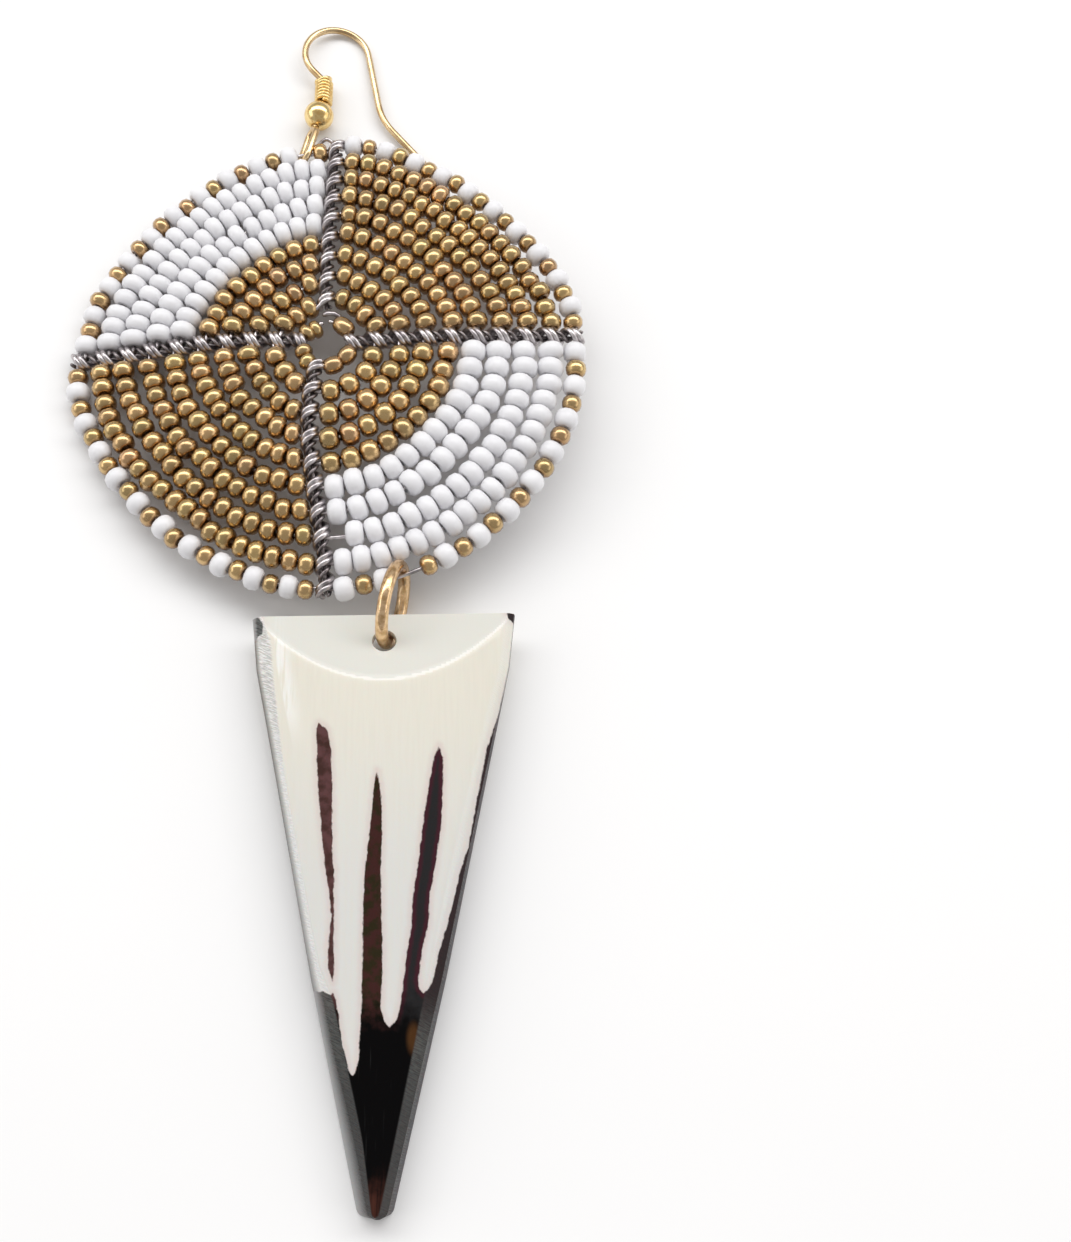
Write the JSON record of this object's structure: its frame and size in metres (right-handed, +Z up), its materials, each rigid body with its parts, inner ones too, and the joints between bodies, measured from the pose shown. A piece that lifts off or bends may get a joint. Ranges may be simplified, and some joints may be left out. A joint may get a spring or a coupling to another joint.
{
  "type": "beaded drop earring",
  "caption": "Beaded disc earring on an ear wire, with a jump ring and a dyed bone drop, lying flat.",
  "frame": {"origin": "on the surface that the earring lies on, under the middle of its outline", "axes": "+Y from the tip of the drop to the ear hook, +Z up from the surface, +X to the right of the disc's face"},
  "size_m": [0.055, 0.1304, 0.0091],
  "materials": {
    "gold_wire": "bright gold plated",
    "pale_gold": "pale gold plated",
    "silver_wire": "drawn wire, slightly dull",
    "bronze_beads": "glass with a bronze metallic lustre",
    "white_beads": "opaque gloss glass",
    "bone": "polished bone, dyed dark brown in spikes"
  },
  "bodies": {
    "root": {"ear_hook": "gold_wire", "hook_coil": "gold_wire", "hook_ball": "gold_wire", "jump_ring": "pale_gold", "bone_drop": "bone", "spoke_right": "silver_wire", "spoke_top": "silver_wire", "spoke_left": "silver_wire", "spoke_bottom": "silver_wire", "bronze_rows_upper_right": "bronze_beads", "bronze_rows_upper_left": "bronze_beads", "bronze_rows_lower_left": "bronze_beads", "bronze_rows_lower_right": "bronze_beads", "white_rows_upper_left": "white_beads", "white_rows_lower_right": "white_beads", "rim_row_upper_right": "white_beads", "rim_row_upper_left": "white_beads", "rim_row_lower_left": "white_beads", "rim_row_lower_right": "white_beads"}
  },
  "joints": []
}
